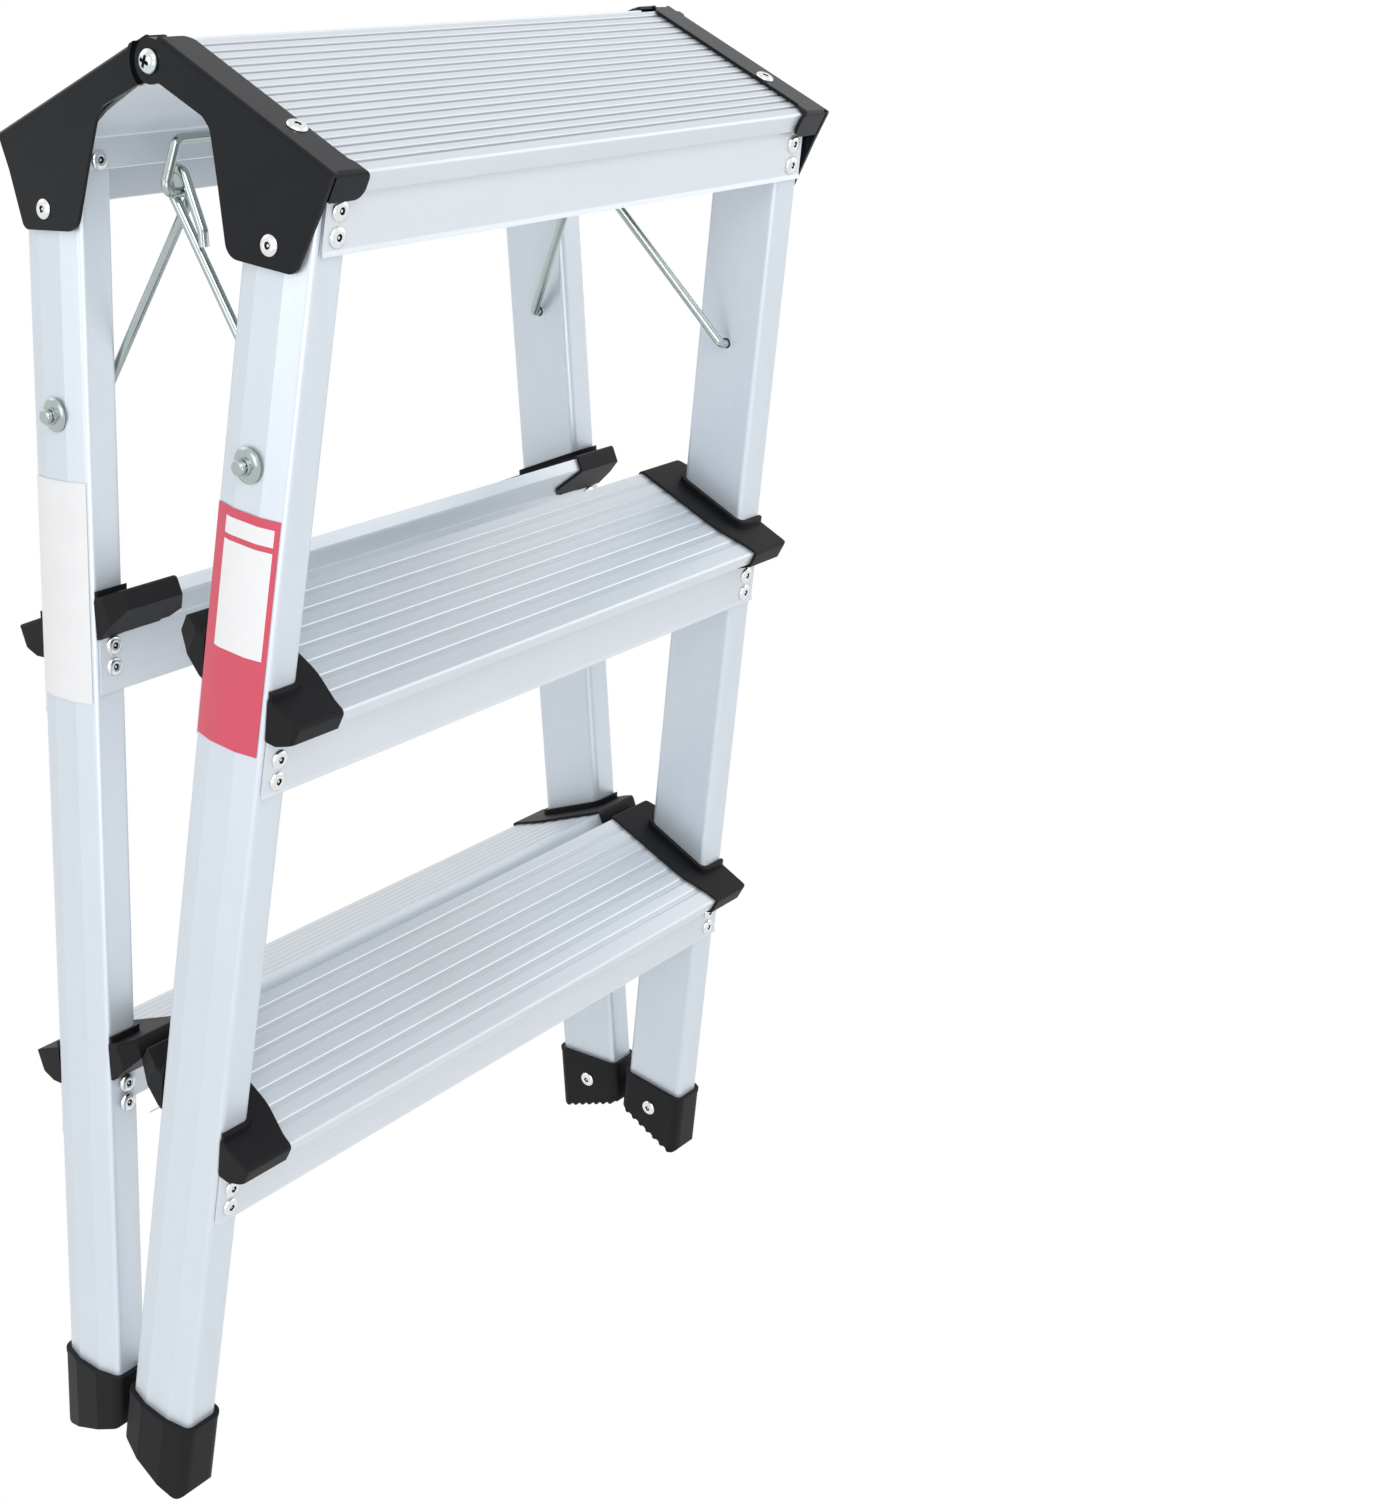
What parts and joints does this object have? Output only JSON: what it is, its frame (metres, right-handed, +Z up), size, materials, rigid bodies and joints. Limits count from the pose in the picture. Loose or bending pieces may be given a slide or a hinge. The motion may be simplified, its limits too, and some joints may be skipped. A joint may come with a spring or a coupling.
{
  "type": "step ladder",
  "caption": "Double-sided folding step ladder with ribbed aluminium treads on leaning rails, hinge plates over the top and a wire spreader, drawn folded.",
  "frame": {"origin": "on the floor under the middle of the folded ladder, at the height of the soles' lowest corners", "axes": "+Z up, +X along the treads and the hinge axis, -Y towards the front frame"},
  "size_m": [0.446, 0.2072, 0.6889],
  "materials": {
    "rail_aluminium": "satin anodised extrusion",
    "tread_aluminium": "ribbed mill-finish extrusion",
    "hinge_plate": "black powder coat",
    "black_plastic": "moulded, fine texture",
    "rivet_metal": "bright",
    "screw_zinc": "bright zinc plate",
    "rod_zinc": "bright zinc plate",
    "white_label": "satin film, bare of print",
    "red_label": "gloss film, bare of print"
  },
  "bodies": {
    "hinge": {"hinge_screw_left": "screw_zinc", "hinge_screw_right": "screw_zinc", "hinge_nut_left": "screw_zinc", "hinge_nut_right": "screw_zinc"},
    "front_frame": {"front_top_tread": "tread_aluminium", "front_mid_tread": "tread_aluminium", "front_bottom_tread": "tread_aluminium", "front_label": "red_label", "front_rail_left": "rail_aluminium", "front_foot_left": "black_plastic", "front_foot_rivet_left": "rivet_metal", "front_plate_left": "hinge_plate", "front_plate_rivet_left": "rivet_metal", "front_flange_rivet_left": "rivet_metal", "front_mid_cap_left": "black_plastic", "front_bottom_cap_left": "black_plastic", "front_rail_right": "rail_aluminium", "front_foot_right": "black_plastic", "front_foot_rivet_right": "rivet_metal", "front_plate_right": "hinge_plate", "front_plate_rivet_right": "rivet_metal", "front_flange_rivet_right": "rivet_metal", "front_mid_cap_right": "black_plastic", "front_bottom_cap_right": "black_plastic"},
    "rear_frame": {"rear_top_tread": "tread_aluminium", "rear_mid_tread": "tread_aluminium", "rear_bottom_tread": "tread_aluminium", "rear_label": "white_label", "rear_rail_left": "rail_aluminium", "rear_foot_left": "black_plastic", "rear_foot_rivet_left": "rivet_metal", "rear_plate_left": "hinge_plate", "rear_plate_rivet_left": "rivet_metal", "rear_flange_rivet_left": "rivet_metal", "rear_mid_cap_left": "black_plastic", "rear_bottom_cap_left": "black_plastic", "rear_rail_right": "rail_aluminium", "rear_foot_right": "black_plastic", "rear_foot_rivet_right": "rivet_metal", "rear_plate_right": "hinge_plate", "rear_plate_rivet_right": "rivet_metal", "rear_flange_rivet_right": "rivet_metal", "rear_mid_cap_right": "black_plastic", "rear_bottom_cap_right": "black_plastic"},
    "rear_bail": {"rear_bail": "rod_zinc", "rear_bail_cap_left": "rod_zinc", "rear_bail_cap_right": "rod_zinc"},
    "front_links": {"front_link_left": "rod_zinc", "front_link_right": "rod_zinc", "front_link_cap_left": "rod_zinc", "front_link_cap_right": "rod_zinc"}
  },
  "joints": [
    {"name": "front_open", "type": "hinge", "parent": "hinge", "child": "front_frame", "pos_m": [0, 0, 0.6788], "axis": [-1, 0, 0], "range_deg": [0, 25]},
    {"name": "rear_open", "type": "hinge", "parent": "hinge", "child": "rear_frame", "pos_m": [0, 0, 0.6788], "axis": [1, 0, 0], "range_deg": [0, 25]},
    {"name": "front_link_turn", "type": "hinge", "parent": "front_frame", "child": "front_links", "pos_m": [0, -0.06241, 0.52192], "axis": [-1, 0, 0], "range_deg": [0, 33.75]},
    {"name": "rear_bail_turn", "type": "hinge", "parent": "rear_frame", "child": "rear_bail", "pos_m": [0, 0.06241, 0.52192], "axis": [1, 0, 0], "range_deg": [0, 33.75]}
  ],
  "couplings": [
    {"joint": "rear_open", "follows": "front_open", "ratio": 1},
    {"joint": "front_link_turn", "follows": "front_open", "ratio": 1.35},
    {"joint": "rear_bail_turn", "follows": "front_open", "ratio": 1.35}
  ]
}
